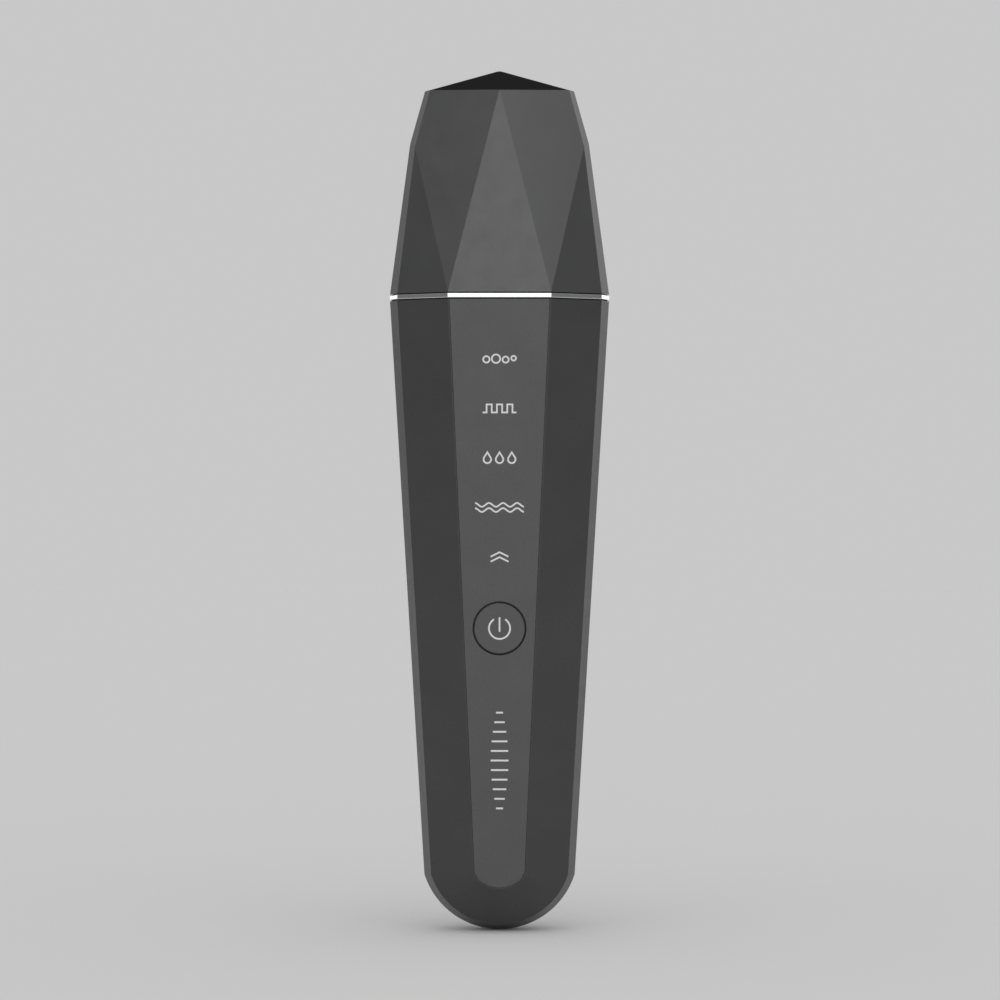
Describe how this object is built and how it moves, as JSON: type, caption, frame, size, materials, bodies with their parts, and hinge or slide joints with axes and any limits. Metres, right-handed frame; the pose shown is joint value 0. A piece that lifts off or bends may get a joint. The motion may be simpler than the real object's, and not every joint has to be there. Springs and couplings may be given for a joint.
{
  "type": "skin scrubber",
  "caption": "Faceted hand-held ultrasonic skin scrubber with a front button, lit mode marks, a bent steel blade and a pull-off cap.",
  "frame": {"origin": "centre of the bottom of the bounding box, on the rounded lower end", "axes": "+Z along the length towards the cap, -Y out of the front panel, +X to the right of the front panel"},
  "size_m": [0.0472, 0.0226, 0.185],
  "materials": {
    "shell": "satin graphite grey",
    "panel": "satin graphite grey",
    "cap_plastic": "satin graphite grey",
    "crown_plastic": "gloss black",
    "polished_trim": "polished",
    "neck_plastic": "satin",
    "silicone": "matt silicone",
    "blade_steel": "fine brushed",
    "piezo": "matt ceramic",
    "black_plastic": "matt",
    "switch_case": "matt",
    "switch_stem": "matt",
    "diffuser": "milky",
    "led": "clear epoxy",
    "circuit_board": "solder mask",
    "socket_steel": "plated",
    "battery_foil": "foil",
    "foam": "foam tape",
    "chip_epoxy": "moulded epoxy",
    "ferrite": "ferrite and winding",
    "capacitor_can": "drawn can",
    "screw_steel": "zinc plated",
    "red_wire": "insulation",
    "white_wire": "insulation",
    "contact_metal": "satin chrome"
  },
  "bodies": {
    "handle": {"rear_shell": "shell", "front_shell": "shell", "front_panel": "panel", "power_switch": "switch_case", "mode_diffusers": "diffuser", "mode_leds": "led", "light_baffle": "black_plastic", "trim_ring": "polished_trim", "neck": "neck_plastic", "cap_seal": "silicone", "blade_boot": "silicone", "blade": "blade_steel", "piezo_plate": "piezo", "transducer_holder": "black_plastic", "damper_pads": "silicone", "main_board": "circuit_board", "usb_socket": "socket_steel", "battery_cell": "battery_foil", "battery_pad": "foam", "battery_tray": "black_plastic", "controller_chip": "chip_epoxy", "charger_chip": "chip_epoxy", "driver_transformer": "ferrite", "boost_inductor": "ferrite", "capacitors": "capacitor_can", "board_parts": "chip_epoxy", "shell_screws": "screw_steel", "board_screws": "screw_steel", "holder_screws": "screw_steel", "battery_leads": "red_wire", "transducer_leads": "white_wire", "contact_lead": "white_wire", "contact_plate": "contact_metal"},
    "cap": {"cap_shell": "cap_plastic", "cap_crown": "crown_plastic"},
    "button": {"power_button": "panel"},
    "stem": {"switch_stem": "switch_stem"}
  },
  "joints": [
    {"name": "cap_pull", "type": "slide", "parent": "handle", "child": "cap", "axis": [0, 0, 1], "range_m": [0, 0.07]},
    {"name": "button_press", "type": "slide", "parent": "handle", "child": "button", "axis": [0, 0.9999, 0.0125], "range_m": [0, 0.0003], "stiffness_N_per_m": 2000},
    {"name": "stem_press", "type": "slide", "parent": "handle", "child": "stem", "axis": [0, 0.9999, 0.0125], "range_m": [0, 0.0003]}
  ],
  "couplings": [
    {"joint": "stem_press", "follows": "button_press", "ratio": 1}
  ]
}
